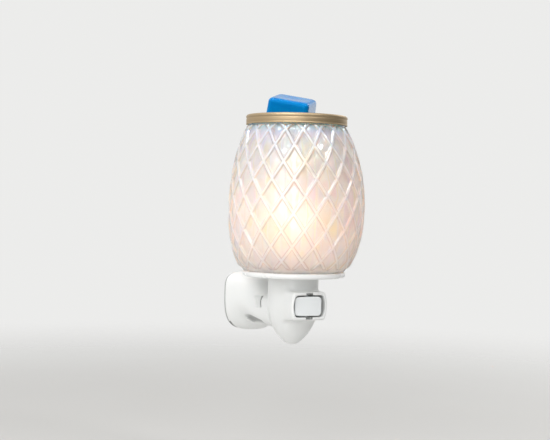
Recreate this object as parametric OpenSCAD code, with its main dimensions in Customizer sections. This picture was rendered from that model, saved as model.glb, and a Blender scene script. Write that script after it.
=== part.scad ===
// Plug-in wax melt warmer with a lit glass shade.
// Millimetres. +Z is up, the wall lies at y = 0 and the warmer stands out along -Y.
// The origin is the centre of the plug's back face.

/* [Base] */
// Distance from the wall to the upright axis of lamp and shade
axis_out = 55.5; // [54:0.5:58]
// Outer radius of the upright base body
body_r = 14.4; // [14.4:0.1:15]
// Wall thickness of the moulded shells
wall = 1.8; // [1.6:0.1:2]
// Height of the lowest tip of the base body
body_tip = -20.8; // [-23:0.2:-20]

/* [Shade seat] */
// Radius of the round plate under the shade
seat_r = 29.5; // [28:0.5:32]
// Thickness of the round plate under the shade
seat_t = 3.2; // [2.8:0.2:3.6]

/* [Glass shade] */
// Largest outer radius of the shade
glass_r = 38.7; // [36:0.1:40]
// Height of the shade from its foot to its lip
glass_h = 85.3; // [84.9:0.2:86.5]
// Wall thickness of the shade
glass_t = 2.6; // [2.2:0.1:3]

/* [Dish] */
// Outer radius of the dish's rolled rim
rim_r = 28.9; // [28.7:0.1:30]
// Depth of the wax bowl
bowl_d = 12.4; // [11:0.2:13]
// Sheet thickness of the spun dish
sheet_t = 0.8; // [0.6:0.1:1]

/* [Wax cube] */
// Side of the cube at its foot
cube_foot = 25; // [20:0.5:25.5]
// Side of the cube at its top
cube_head = 21.5; // [18:0.5:23]
// Height of the cube
cube_h = 21; // [18:0.5:26]

/* [Switch] */
// Width of the rocker
rocker_w = 16; // [14:0.2:16.4]
// Height of the rocker
rocker_h = 10.8; // [9:0.2:11.2]
// Tilt of the rocker each way from its middle position
rocker_tilt = 8; // [6:0.5:9]

/* [Plug] */
// Radius of the turning plug disc
plug_r = 13.4; // [12.8:0.1:13.4]
// Distance between the middles of the two blades
blade_gap = 12.7; // [12.7]
// Length of the blades beyond the plug face
blade_l = 17.4; // [15.9:0.1:18]

/* [Hidden] */
$fn = 96;

run = 0.05;              // radial clearance of a turning fit
slip = 0.15;             // clearance between parts that are fitted by hand
seat_z = 18;             // underside of the seat plate
glass_z = seat_z + seat_t;
lip_z = glass_z + glass_h;
collar_r = 10.2;         // lamp holder collar that comes up through the seat and the glass
flange_r = 12.4;         // lamp holder flange held between the shells
sleeve_r = 6.6;
bulb_z = 15.2;           // tip of the lamp's centre contact
sw_y = -(axis_out + 15.5);   // rocker pivot
sw_z = 2.5;
bezel_y = -(axis_out + 20);  // face of the switch frame
see_y = sw_y + 5.6;      // back of the see-saw contact, where it rocks

// ---- outline helpers -------------------------------------------------

// Radius of the arc that starts upright at half width hw and height z0
// and runs into a nose of radius rn whose lowest point is zb
function arc_r(hw, z0, zb, rn) = (hw*hw + pow(z0 - zb - rn, 2) - rn*rn) / (2*(hw - rn));
function arc_end(hw, z0, zb, rn) = atan2(z0 - zb - rn, arc_r(hw, z0, zb, rn) - hw);

// Right-hand side of a pointed-bowl outline, from the upright side down to the nose
function flank(hw, z0, zb, rn, na, nn) =
  let (ra = arc_r(hw, z0, zb, rn), fe = arc_end(hw, z0, zb, rn))
  concat(
    [for (i = [0:na]) let (f = fe*i/na) [hw - ra + ra*cos(f), z0 - ra*sin(f)]],
    [for (i = [1:nn]) let (f = fe + (90 - fe)*i/nn) [rn*cos(f), zb + rn - rn*sin(f)]]
  );

// Closed shield outline: two half superellipses that meet at height z0,
// a squarish one of exponent pt up to zt and a pointed or flat one of exponent pb down to zb
function spow(v, e) = sign(v)*pow(abs(v), e);
function shield(hw, z0, zt, zb, pt, pb, n = 44) =
  [for (i = [0:n - 1]) let (a = 90 - 360*(i + 0.5)/n, p = sin(a) > 0 ? pt : pb)
    [hw*spow(cos(a), 2/p), z0 + (sin(a) > 0 ? zt - z0 : z0 - zb)*spow(sin(a), 2/p)]];

// Solid through a row of rings: each row is [y, outline]
module loft(rows) {
  n = len(rows[0][1]);
  m = len(rows);
  pts = [for (r = rows) for (p = r[1]) [p[0], r[0], p[1]]];
  polyhedron(
    points = pts,
    faces = concat(
      [[for (i = [n - 1:-1:0]) i]],
      [[for (i = [0:n - 1]) (m - 1)*n + i]],
      [for (k = [0:m - 2]) for (i = [0:n - 1])
        [k*n + i, (k + 1)*n + (i + 1) % n, (k + 1)*n + i]],
      [for (k = [0:m - 2]) for (i = [0:n - 1])
        [k*n + i, k*n + (i + 1) % n, (k + 1)*n + (i + 1) % n]]
    ),
    convexity = 6
  );
}

module upright() { translate([0, -axis_out, 0]) children(); }
// Turns a Z-up child so that its +Z points to the wall, along +Y
module to_wall() { rotate([-90, 0, 0]) children(); }
// Cylinder along Y between two depths
module ycyl(r, y0, y1) { translate([0, y0, 0]) to_wall() cylinder(r = r, h = y1 - y0); }
module ring(ro, ri, z0, z1) {
  translate([0, 0, z0]) difference() {
    cylinder(r = ro, h = z1 - z0);
    translate([0, 0, -1]) cylinder(r = ri, h = z1 - z0 + 2);
  }
}

// ---- base body profile ----------------------------------------------
function body_side(o) = flank(body_r - o, 2, body_tip + o, 7 - o, 14, 8);
module body_turned(o, top) {
  upright() rotate_extrude() polygon(concat(
    [[0, top], [body_r - o, top]], body_side(o)));
}

// ---- plug pod depth sections ----------------------------------------
// [distance from wall, half width, widest height, top, foot, top exponent, foot exponent]
pod_rows = [
  [0.3, 16.3, 5, 17.3, -17.6, 3.6, 1.8],
  [0.9, 16.8, 5, 17.8, -18.1, 3.6, 1.8],
  [9, 16.2, 5, 17.7, -17.2, 3.6, 1.8],
  [15, 15.5, 4, 17.4, -15.2, 3.5, 1.9],
  [21, 14.7, 2, 16.6, -13.4, 3.3, 2.1],
  [27, 13.9, 0, 15.0, -12.5, 3.1, 2.3],
  [31, 13.3, -1, 12.4, -12.3, 3.0, 2.5],
  [34, 12.9, -2, 8.6, -12.4, 3.0, 2.6],
  [37, 12.6, -2.5, 7.2, -12.5, 3.0, 2.6],
  [axis_out - 6, 12.4, -2.5, 7.0, -12.8, 3.0, 2.6]
];
function pod_ring(q, o) = [-q[0], shield(q[1] - o, q[2], q[3] - o, q[4] + o, q[5], q[6])];

// ============================ plug ====================================

module plug_disc() {
  color("white") difference() {
    union() {
      ycyl(plug_r, -5, 0);
      ycyl(5, -9.1, -5);
      ycyl(4, -11.85, -9.1);
      // stop lug that meets the carrier's sector
      intersection() {
        ycyl(6.6, -9.1, -5);
        translate([-1.8, -9.1, 0]) cube([3.6, 4.1, 8]);
      }
    }
    for (s = [-1, 1]) translate([s*blade_gap/2, 0, 0])
      translate([-0.8, -6, -4.1]) cube([1.6, 7, 8.2]);
    ycyl(1.2, -13, -3);
  }
}

module blade(w) {
  difference() {
    union() {
      translate([-0.75, -5, -w/2]) cube([1.5, blade_l + 3, w]);
      intersection() {
        translate([-0.75, blade_l - 2, -w/2]) cube([1.5, 2, w]);
        rotate([0, 90, 0]) translate([0, blade_l - 5, -1]) cylinder(r = 5, h = 2);
      }
    }
    rotate([0, 90, 0]) translate([0, 11.9, -2]) cylinder(r = 1.6, h = 4);
  }
}
module line_blade() { color("goldenrod") translate([-blade_gap/2, 0, 0]) blade(6.35); }
module neutral_blade() { color("goldenrod") translate([blade_gap/2, 0, 0]) blade(7.9); }

// Arc-shaped contact on the plug disc, joined to its blade by a tab
module contact_arc(s, w) {
  rotate([0, s > 0 ? 0 : 180, 0]) difference() {
    intersection() {
      union() {
        difference() { ycyl(12.1, -5.6, -5); ycyl(9.3, -6, -4); }
        translate([5.6, -5.6, -w/2]) cube([4.4, 0.6, w]);
      }
      // keeps the stretch within 56 degrees either side of +X
      translate([0, -4, 0]) rotate([90, 0, 0])
        linear_extrude(2) polygon([[0, 0], [20*cos(56), 20*sin(56)], [26, 12], [26, -12], [20*cos(56), -20*sin(56)]]);
    }
  }
}
module line_arc() { color("goldenrod") contact_arc(-1, 5); }
module neutral_arc() { color("goldenrod") contact_arc(1, 5); }

// ============================ plug pod ================================

module plug_pod() {
  color("white") difference() {
    loft([for (q = pod_rows) pod_ring(q, 0)]);
    // mouth for the turning disc, then the bed of the brush carrier
    ycyl(plug_r + run, -11.9, 1);
    ycyl(12.2, -14, -11);
    // hollow that carries the wires to the base
    loft(concat([[-13.5, pod_ring([13.5, 15.7, 4, 17.5, -15.8, 3.5, 1.9], wall)[1]]],
      [for (i = [3:len(pod_rows) - 1]) pod_ring(pod_rows[i], wall)],
      [[-(axis_out), pod_ring(pod_rows[len(pod_rows) - 1], wall)[1]]]));
    // clear of the upright body
    upright() translate([0, 0, -30]) cylinder(r = body_r, h = 60);
    // windows for the two latch hooks
    for (s = [-1, 1]) translate([s*12.5, -36.9, 2.2]) translate([-2.5, -3.3, -3.4]) cube([5, 6.6, 6.8]);
  }
  // bead that the carrier snaps behind
  color("white") intersection() {
    difference() { ycyl(plug_r + run + 0.3, -9.05, -8.55); ycyl(plug_r - 0.2, -10, -8); }
    union() for (a = [30, 150, 270]) rotate([0, a, 0]) translate([0, -10, -3]) cube([20, 3, 6]);
  }
}

module brush_carrier() {
  color("gainsboro") difference() {
    union() {
      ycyl(plug_r - 0.05, -11.8, -9.2);
      // sector that stops the plug disc after a quarter turn
      difference() {
        ycyl(7, -9.2, -7.6);
        ycyl(5.2, -10, -7);
        // free sweep of the lug: 90 degrees plus the lug's own width
        translate([0, -6, 0]) rotate([90, 0, 0]) linear_extrude(5)
          polygon([[0, 0], [12*cos(69), 12*sin(69)], [0, 14], [-14, 14], [-14, 0], [12*cos(201), 12*sin(201)]]);
      }
    }
    ycyl(4 + run, -13, -7);
    // rivet holes of the two brushes and the wire passages
    for (s = [-1, 1]) rotate([0, -45 + (s > 0 ? 0 : 180), 0]) {
      translate([10.7, -13, 3.6]) to_wall() cylinder(r = 0.8, h = 6);
      translate([10.4, -13, -4.4]) to_wall() cylinder(r = 1.2, h = 6);
    }
  }
}

// Spring strip riveted to the carrier, its tip on the contact arc
module brush() {
  union() {
    translate([9.5, -9.2, 2.2]) cube([2.4, 0.35, 3]);
    translate([10.7, -12.3, 3.6]) to_wall() cylinder(r = 0.78, h = 3.3);
    translate([9.7, -9.2, -1.2]) cube([2, 0.35, 3.5]);
    translate([9.7, -9.2, -1.2]) cube([2, 3.2, 0.35]);
    translate([9.7, -6.3, -1.2]) cube([2, 0.35, 2.2]);
    translate([10.7, -6.2, 0]) to_wall() cylinder(r = 0.7, h = 0.55);
  }
}
module neutral_brush() { color("darkgoldenrod") rotate([0, -45, 0]) brush(); }
module line_brush() { color("darkgoldenrod") rotate([0, 135, 0]) brush(); }

module pivot_washer() {
  color("silver") difference() { ycyl(5.4, -12.5, -11.9); ycyl(1.45, -13, -11); }
}
module pivot_screw() {
  color("silver") difference() {
    union() { ycyl(2.6, -14.2, -12.5); ycyl(1.25, -13, -4); }
    translate([-0.35, -15, -3]) cube([0.7, 1.6, 6]);
  }
}

// ============================ base shells =============================

// Grooved rings inside the top of the body that trap the lamp holder's flange
module body_rings() {
  upright() {
    ring(body_r - 0.5, flange_r - 1.4, 8.6, 10.8);
    ring(body_r - 0.5, flange_r - 1.4, 13.1, 15.2);
  }
}
module screw_boss(x, y0, y1) {
  translate([x, 0, -7]) difference() { ycyl(2.5, y0, y1); ycyl(1.1, y0 - 1, y1 + 1); }
}

module rear_shell() {
  color("white") difference() {
    union() {
      intersection() {
        union() {
          difference() { body_turned(0, seat_z); body_turned(wall, seat_z + 1); }
          body_rings();
        }
        translate([-40, -axis_out, -40]) cube([80, 40, 80]);
      }
      // stub that slides into the pod's neck
      difference() {
        loft([for (k = [0, 1]) [k == 0 ? -34.5 : -axis_out, shield(12.4 - wall - slip, -2.5, 7 - wall - slip, -12.5 + wall + slip, 3, 2.6)]]);
        loft([for (k = [0, 1]) [k == 0 ? -33.5 : -axis_out - 1, shield(12.4 - 2*wall - slip, -2.5, 7 - 2*wall - slip, -12.5 + 2*wall + slip, 3, 2.6)]]);
        body_turned(wall, seat_z + 1);
      }
      // latch hooks on the stub
      for (s = [-1, 1]) translate([s*10.9, -36.9, 2.2])
        linear_extrude(6, center = true) polygon([[s*-0.9, -3], [s*1.3, -3], [s*1.3, -1.6], [s*0.1, 3], [s*-0.9, 3]]);
      // screw bosses
      for (s = [-1, 1]) intersection() {
        screw_boss(s*6.6, -axis_out, -axis_out + 9.5);
        body_turned(0.4, seat_z);
      }
    }
    // window from the body into the neck for the wires
    translate([-4, -axis_out + 8, -9]) cube([8, 8, 12]);
    // screw heads sink in from the neck side, and the shanks pass through
    for (s = [-1, 1]) translate([s*6.6, 0, -7]) {
      ycyl(2.55, -axis_out + 7, -axis_out + 16);
      ycyl(1.5, -axis_out - 1, -axis_out + 16);
    }
  }
}

// Frame round the rocker, with bulging sides
module bulge(hw, hh, sag) {
  r = (hh*hh + sag*sag)/(2*sag);
  intersection() {
    square([2*hw, 2*hh], center = true);
    translate([hw - r, 0]) circle(r = r);
    translate([-(hw - r), 0]) circle(r = r);
  }
}
module from_front(y0, y1) { translate([0, y1, sw_z]) rotate([90, 0, 0]) linear_extrude(y1 - y0) children(); }

module front_shell() {
  color("white") difference() {
    union() {
      intersection() {
        union() {
          difference() { body_turned(0, seat_z); body_turned(wall, seat_z + 1); }
          body_rings();
        }
        translate([-40, -axis_out - 40, -40]) cube([80, 40, 80]);
      }
      // switch frame
      difference() {
        union() {
          from_front(bezel_y + 0.7, -axis_out - 4) bulge(11.25, 7.9, 1.45);
          from_front(bezel_y, bezel_y + 0.7) bulge(10.75, 7.4, 1.3);
        }
        body_turned(wall, seat_z + 1);
      }
      // ribs that the switch base is pushed against
      for (s = [-1, 1]) intersection() {
        translate([s*9.6 - 1.2, -axis_out - 10.4, -3.5]) cube([2.4, 1.6, 9]);
        body_turned(0.5, seat_z);
      }
      for (s = [-1, 1]) intersection() {
        screw_boss(s*6.6, -axis_out - 6.5, -axis_out);
        body_turned(0.4, seat_z);
      }
    }
    // opening for the rocker
    from_front(bezel_y - 1, -axis_out - 6) bulge(10, 6.15, 1.6);
    // lead-in notches and seats of the two pivot pins
    for (s = [-1, 1]) {
      translate([-2.2, bezel_y - 1, sw_z + s*6.6 - 0.6]) cube([4.4, 3.2, 1.2]);
      translate([0, sw_y, sw_z + s*6.5 - 0.7]) cylinder(r = 1.1 + run, h = 1.4);
    }
    // pilot holes of the housing screws
    for (s = [-1, 1]) translate([s*6.6, 0, -7]) ycyl(1.1, -axis_out - 5, -axis_out + 1);
  }
}

module housing_screws() {
  color("silver") for (s = [-1, 1]) translate([s*6.6, 0, -7]) difference() {
    union() {
      ycyl(2.4, -axis_out + 7, -axis_out + 8.8);
      ycyl(1.45, -axis_out, -axis_out + 7.1);
      ycyl(1.1, -axis_out - 4.8, -axis_out + 0.1);
    }
    for (a = [0, 90]) rotate([0, a, 0]) translate([-1.4, -axis_out + 7.9, -0.3]) cube([2.8, 2, 0.6]);
  }
}

// ============================ seat and lamp holder ====================

module shade_seat() {
  color("white") upright() rotate_extrude() difference() {
    union() {
      translate([collar_r + slip, seat_z]) square([seat_r - collar_r - slip - seat_t/2, seat_t]);
      translate([seat_r - seat_t/2, seat_z + seat_t/2]) circle(r = seat_t/2);
      // lip that keeps the two shells together at the top
      translate([collar_r + slip + 0.35, 15.35]) square([1.2, 3]);
      translate([flange_r - 0.85, 15.35]) square([0.9, 3]);
    }
  }
}

module socket_body() {
  color("ivory") upright() difference() {
    union() {
      translate([0, 0, 5]) cylinder(r = 8, h = 7);
      translate([0, 0, 10.9]) cylinder(r = flange_r, h = 2.1);
      translate([0, 0, 12]) cylinder(r = collar_r, h = 18.4);
      // rounded thread of the collar, drawn as rings
      for (i = [0:3]) translate([0, 0, 23 + 2*i]) rotate_extrude()
        polygon([[collar_r - 1, -0.7], [collar_r, -0.7], [collar_r + 0.5, -0.2], [collar_r + 0.5, 0.2], [collar_r, 0.7], [collar_r - 1, 0.7]]);
    }
    // bore for the sleeve, and the well of the centre contact
    translate([0, 0, 14]) cylinder(r = sleeve_r + 0.02, h = 20);
    translate([0, 0, 11]) cylinder(r = 4.6, h = 4);
    // slots for the two terminals
    translate([-1.3, -0.35, 4]) cube([2.6, 0.7, 8]);
    translate([-1.3, 5.95, 4]) cube([2.6, 0.75, 11]);
  }
}

// Rounded screw profile of the small lamp cap, as rings; o widens it
ridge_n = 5;
function screw_side(o) = concat(
  [for (i = [0:ridge_n - 1]) each [[5.55 + o, 17.2 + 2.3*i], [5.95 + o, 17.9 + 2.3*i], [5.95 + o, 18.6 + 2.3*i], [5.55 + o, 19.3 + 2.3*i]]]);

module socket_sleeve() {
  color("goldenrod") upright() {
    rotate_extrude() polygon(concat(
      [[sleeve_r, 30.1], [sleeve_r, 14.3], [4.4, 14.3], [4.4, 14.7], [5.9, 14.7], [5.63, 16.6]], screw_side(0.08), [[5.63, 30.1]]));
    // terminal tab through the floor
    translate([-1.2, 6.05, 3]) cube([2.4, 0.5, 11.5]);
  }
}

module centre_contact() {
  color("goldenrod") upright() {
    translate([-1.2, -0.25, 2.6]) cube([2.4, 0.5, 8.9]);
    translate([-1.2, -0.25, 11.1]) cube([2.4, 4, 0.4]);
    translate([-1.2, 3.4, 11.1]) cube([2.4, 0.4, 3.0]);
    translate([-1.2, -2.2, 13.9]) cube([2.4, 6, 0.4]);
    translate([0, 0, 14.2]) cylinder(r = 1, h = 0.85);
  }
}

module retaining_ring() {
  color("white") upright() translate([0, 0, glass_z + 3.05]) difference() {
    union() {
      cylinder(r = 15, h = 1.4);
      cylinder(r = 13.2, h = 5.2);
    }
    translate([0, 0, -1]) cylinder(r = collar_r + 0.6, h = 8);
    for (i = [0:23]) rotate([0, 0, 15*i]) translate([13.5, 0, 1.4]) cylinder(r = 0.8, h = 6, $fn = 24);
  }
}

// ============================ glass shade =============================

glass_mid = 58;
glass_foot_r = 28.9;
glass_neck_r = 27.6;
// Outer radius at height z: an egg, fuller below its widest height
function egg(z) = z > glass_mid
  ? glass_r*sqrt(1 - pow((z - glass_mid)/65.5, 2))
  : glass_r*sqrt(1 - pow((glass_mid - z)/52.5, 2.5));
egg_n = 30;
neck_z = lip_z - 3.2;
egg_side = [for (i = [0:egg_n]) let (z = glass_z + 1 + (neck_z - glass_z - 1)*i/egg_n) [egg(z), z]];
egg_in = [for (i = [egg_n:-1:0]) let (z = glass_z + 4.2 + (neck_z - 1.5 - glass_z - 4.2)*i/egg_n) [egg(z) - glass_t, z]];

module glass_shade() {
  color([0.95, 0.9, 0.88, 0.6]) upright() rotate_extrude() polygon(concat(
    [[collar_r + 0.7, glass_z], [glass_foot_r, glass_z]],
    egg_side,
    [[glass_neck_r, neck_z + 0.4], [glass_neck_r, lip_z - 0.5], [glass_neck_r - 0.5, lip_z], [25.8, lip_z], [25.4, lip_z - 0.4], [25.4, neck_z - 0.4]],
    egg_in,
    [[27, glass_z + 3], [collar_r + 0.7, glass_z + 3]]));
}

// ============================ lamp ====================================

module bulb_shell() {
  color("gold") upright() rotate_extrude() polygon(concat(
    [[4.6, 29.4], [4.6, 17.1], [3.0, 16.5], [3.0, 16.1], [5.4, 16.7]], screw_side(0), [[5.6, 29.4]]));
}
module bulb_insulator() {
  color("black") upright() rotate_extrude() polygon([[0, 15.9], [1.6, 15.9], [3, 16.1], [3, 16.7], [0, 16.7]]);
}
module bulb_contact() {
  color("silver") upright() rotate_extrude() polygon([[0, bulb_z], [0.9, bulb_z], [1.5, 15.5], [1.6, 15.9], [0, 15.9]]);
}
// Outline of the lamp's glass: a slim neck, a belly and a rounded head
lamp_r = 11.2;
belly_z = 50;
lamp_top = 70;
function lamp_side(o, n = 18) = concat(
  [for (i = [0:n]) let (t = i/n) [4.55 - o + (lamp_r - 4.55)*t*t*(3 - 2*t), 30.6 + (belly_z - 30.6)*t]],
  [for (i = [1:n]) let (a = 90*i/n) [(lamp_r - o)*cos(a), belly_z + (lamp_top - belly_z - o)*sin(a)]]);
module bulb_glass() {
  outer = lamp_side(0);
  inner = lamp_side(0.8);
  color([1, 0.96, 0.88, 0.8]) upright() rotate_extrude() polygon(concat(
    [[3.75, 24], [4.55, 24]], outer, [for (i = [len(inner) - 1:-1:0]) inner[i]]));
}
module bulb_stem() {
  color("lightgray") upright() {
    translate([0, 0, 22]) cylinder(r = 1.7, h = 16);
    translate([0, 0, 22]) cylinder(r1 = 3.4, r2 = 1.7, h = 3);
  }
}
module filament() {
  color("dimgray") upright() {
    for (s = [-1, 1]) {
      translate([s*1.1, 0, 38]) cylinder(r = 0.25, h = 8, $fn = 16);
      translate([s > 0 ? 0.85 : -2.85, -0.25, 45.7]) cube([2, 0.5, 0.5]);
      translate([s*2.6, 0, 46]) cylinder(r = 0.25, h = 7, $fn = 16);
    }
    // coiled arc between the two supports
    rotate([90, 0, 0]) translate([0, 51.6, 0]) rotate_extrude(angle = 180, $fn = 48) translate([2.6, 0]) circle(r = 0.22, $fn = 16);
  }
}

// ============================ switch ==================================

// Everything that tilts with the rocker is drawn level and then tilted
module tilted(a) { translate([0, sw_y, sw_z]) rotate([0, 0, a]) children(); }

module switch_rocker() {
  color("white") tilted(-rocker_tilt) difference() {
    union() {
      // cap with round corners and a crowned face
      intersection() {
        translate([0, 2.2, 0]) rotate([90, 0, 0]) linear_extrude(7.2) union() {
          square([rocker_w, rocker_h - 3.4], center = true);
          square([rocker_w - 3.4, rocker_h], center = true);
          for (s = [-1, 1], t = [-1, 1]) translate([s*(rocker_w/2 - 1.7), t*(rocker_h/2 - 1.7)]) circle(r = 1.7);
        }
        translate([0, 55.5, -20]) cylinder(r = 60, h = 40, $fn = 180);
      }
      translate([0, 0, -rocker_h/2 - 1.6]) cylinder(r = 1.1, h = rocker_h + 3.2);
      ycyl(2.6, 0, 3.4);
    }
    // hollow back and the plunger's guide
    translate([-rocker_w/2 + 1.4, -2.2, -rocker_h/2 + 1.4]) difference() {
      cube([rocker_w - 2.8, 6, rocker_h - 2.8]);
      translate([rocker_w/2 - 1.4, -1, rocker_h/2 - 1.4]) ycyl(2.6, 0, 8);
      translate([rocker_w/2 - 2.9, -1, -1]) cube([3, 4.4, rocker_h]);
    }
    ycyl(1.4 + run, -0.6, 5);
  }
}
module rocker_plunger() {
  color("ivory") tilted(-rocker_tilt) {
    ycyl(1.4, 2.2, 4.1);
    translate([0, 4.1, 0]) to_wall() cylinder(r1 = 1.4, r2 = 0.5, h = 0.85);
  }
}
module rocker_spring() {
  color("silver") tilted(-rocker_tilt)
    wire([for (i = [0:45]) [1.02*cos(40*i), -0.4 + 2.4*i/45, 1.02*sin(40*i)]], 0.18, 6);
}
module seesaw_contact() {
  color("goldenrod") translate([0, see_y, sw_z]) rotate([0, 0, 5]) {
    translate([-6.2, -0.5, -1.6]) cube([12.4, 0.5, 3.2]);
    // round bead that rocks in the line terminal's groove
    translate([0, 0, -1.6]) cylinder(r = 0.5, h = 3.2, $fn = 48);
    for (s = [-1, 1]) translate([s*5.4, 0, 0]) ycyl(0.9, -0.7, 0.12);
  }
}
module switch_base() {
  color("gainsboro") difference() {
    intersection() {
      translate([-9.7, -axis_out - 8.75, -4.5]) cube([19.4, 1.5, 9.3]);
      body_turned(wall + 0.1, seat_z);
    }
    translate([-1.3, -axis_out - 9, -4.8]) cube([2.6, 2, 3.4]);
    translate([4.3, -axis_out - 9, -3.8]) cube([2.2, 2, 2.2]);
    // bed of the load terminal
    translate([4.3, -axis_out - 9, -3.8]) cube([2.2, 0.9, 8]);
  }
}
module line_terminal() {
  color("goldenrod") {
    difference() {
      translate([-1.2, see_y + 0.3, -1]) cube([2.4, 0.8, sw_z + 3.2]);
      translate([0, see_y, -2]) cylinder(r = 0.56, h = sw_z + 6, $fn = 48);
    }
    translate([-1.2, see_y + 0.5, -3.2]) cube([2.4, 0.6, 2.3]);
    translate([-1.2, see_y + 0.5, -3.2]) cube([2.4, 4.2, 0.6]);
  }
}
module load_terminal() {
  color("goldenrod") {
    translate([4.4, see_y + 1.15, -1]) cube([2, 0.55, sw_z + 2.4]);
    translate([5.4, 0, sw_z]) ycyl(0.8, see_y + 0.68, see_y + 1.2);
    translate([4.4, see_y + 1.15, -3.4]) cube([2, 0.55, 2.5]);
    translate([4.4, see_y + 1.15, -3.4]) cube([2, 3.6, 0.6]);
  }
}

// ============================ wires ===================================

// Round wire along a list of points
function unit(v) = v/norm(v);
module wire(path, r, n = 8) {
  m = len(path);
  tang = [for (i = [0:m - 1]) unit(path[min(i + 1, m - 1)] - path[max(i - 1, 0)])];
  pts = [for (i = [0:m - 1]) let (
      t = tang[i], u = unit(cross(t, abs(t[0]) > 0.9 ? [0, 0, 1] : [1, 0, 0])), v = cross(u, t))
    for (k = [0:n - 1]) path[i] + r*(cos(360*k/n)*u + sin(360*k/n)*v)];
  polyhedron(points = pts, faces = concat(
    [[for (k = [n - 1:-1:0]) k]],
    [[for (k = [0:n - 1]) (m - 1)*n + k]],
    [for (i = [0:m - 2]) for (k = [0:n - 1]) [i*n + k, i*n + (k + 1) % n, (i + 1)*n + k]],
    [for (i = [0:m - 2]) for (k = [0:n - 1]) [i*n + (k + 1) % n, (i + 1)*n + (k + 1) % n, (i + 1)*n + k]]
  ), convexity = 8);
}
// Smooth run through chosen points
function mid(a, b, c, t) = (1 - t)*(1 - t)*(a + b)/2 + 2*t*(1 - t)*b + t*t*(b + c)/2;
function smooth(p) = concat([p[0]], [for (i = [1:len(p) - 2]) each [for (t = [0.1, 0.5, 0.9]) mid(p[i - 1], p[i], p[i + 1], t)]], [p[len(p) - 1]]);

module line_wire() {
  color("black") wire(smooth([[-5, -12.3, -10], [-5, -13.4, -10], [-5, -14.5, -10], [-5, -20, -8.5], [-4, -32, -5], [-2.5, -44, -4.5], [-1.5, -52, -6.5], [0, -58, -6.5], [0, -61.2, -4.5], [0, -61.2, -3.25]]), 0.9);
}
module neutral_wire() {
  color("whitesmoke") wire(smooth([[5, -12.3, 10], [5, -13.4, 10], [5, -14.5, 10], [5, -20, 8], [3.5, -31, 2], [2, -40, 0], [0.5, -46, -1], [0, -49.2, 0], [0, -49.2, 2.9]]), 0.9);
}
module load_wire() {
  color("black") wire(smooth([[5.4, -61.65, -2.8], [5.4, -61.65, -2.2], [5.4, -61.65, -1.6], [4.4, -60.6, -0.9], [2.6, -58, -1.4], [0.8, -55.9, -1.4], [0, -55.5, -0.4], [0, -55.5, 1], [0, -55.5, 2.5]]), 0.9);
}

// ============================ dish and wax ============================

dish_n = 16;
bowl_r = 24.2;
bowl_z = lip_z + 0.9 - bowl_d;
function bowl(r) = bowl_z + bowl_d*pow(r/bowl_r, 4);
function bowl_a(r) = atan(4*bowl_d/bowl_r*pow(r/bowl_r, 3));
module wax_dish() {
  bead = 1.3;
  br = rim_r - bead;
  bz = lip_z + 1.7;
  color("tan") upright() rotate_extrude() polygon(concat(
    [for (i = [0:dish_n]) let (r = bowl_r*i/dish_n) [r, bowl(r)]],
    // rolled bead, from the inside over the top to the outside
    [for (i = [0:12]) let (a = 215 - 20*i) [br + bead*cos(a), bz + bead*sin(a)]],
    // skirt with a turned foot
    [[rim_r - 0.15, lip_z + 1], [rim_r - 0.15, lip_z - 2], [rim_r, lip_z - 2.2], [rim_r - 0.1, lip_z - 2.6], [rim_r - 0.8, lip_z - 2.6], [rim_r - 0.8, lip_z + 0.1], [bowl_r + 1.4, lip_z + 0.1]],
    [for (i = [dish_n:-1:0]) let (r = bowl_r*i/dish_n, a = bowl_a(r)) [max(0, r + sheet_t*sin(a)), bowl(r) - sheet_t*cos(a)]]));
}

module wax_melt() {
  color("dodgerblue") translate([-2.3, -axis_out + 5.7, bowl_z + 3.9]) rotate([0, 0, -41]) rotate([11, 9.5, 0]) hull() {
    for (s = [-1, 1], t = [-1, 1]) {
      translate([s*(cube_foot/2 - 3), t*(cube_foot/2 - 3), 3]) sphere(r = 3, $fn = 32);
      translate([s*(cube_head/2 - 2.4), t*(cube_head/2 - 2.4), cube_h - 2.4]) sphere(r = 2.4, $fn = 32);
    }
  }
}

// ============================ assembly ================================

plug_disc();
line_blade();
neutral_blade();
line_arc();
neutral_arc();
plug_pod();
brush_carrier();
line_brush();
neutral_brush();
pivot_washer();
pivot_screw();
rear_shell();
front_shell();
housing_screws();
shade_seat();
socket_body();
socket_sleeve();
centre_contact();
retaining_ring();
glass_shade();
bulb_shell();
bulb_insulator();
bulb_contact();
bulb_glass();
bulb_stem();
filament();
switch_rocker();
rocker_plunger();
rocker_spring();
seesaw_contact();
switch_base();
line_terminal();
load_terminal();
line_wire();
load_wire();
neutral_wire();
wax_dish();
wax_melt();
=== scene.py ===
import math

import bmesh
import bpy
import numpy as np
from mathutils import Matrix, Vector


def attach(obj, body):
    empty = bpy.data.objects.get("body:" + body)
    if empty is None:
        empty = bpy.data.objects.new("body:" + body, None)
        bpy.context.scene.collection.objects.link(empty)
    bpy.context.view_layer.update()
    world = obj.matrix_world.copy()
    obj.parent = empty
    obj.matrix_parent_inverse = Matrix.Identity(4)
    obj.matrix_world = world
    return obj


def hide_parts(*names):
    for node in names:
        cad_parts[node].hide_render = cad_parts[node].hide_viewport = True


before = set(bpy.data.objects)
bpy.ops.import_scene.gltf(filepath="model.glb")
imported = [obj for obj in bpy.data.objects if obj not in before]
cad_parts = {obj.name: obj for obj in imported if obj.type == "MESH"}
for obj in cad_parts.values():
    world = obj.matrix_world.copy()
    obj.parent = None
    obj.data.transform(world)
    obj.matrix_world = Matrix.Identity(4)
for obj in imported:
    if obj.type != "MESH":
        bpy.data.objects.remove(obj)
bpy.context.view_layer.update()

# Sizes in millimetres, in the CAD frame: wall at y = 0, +Z up.
AX = -55.5            # upright axis of lamp and shade
SEAT_Z = 18.0
GLASS_Z = 21.2
LIP_Z = 106.5


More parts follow.
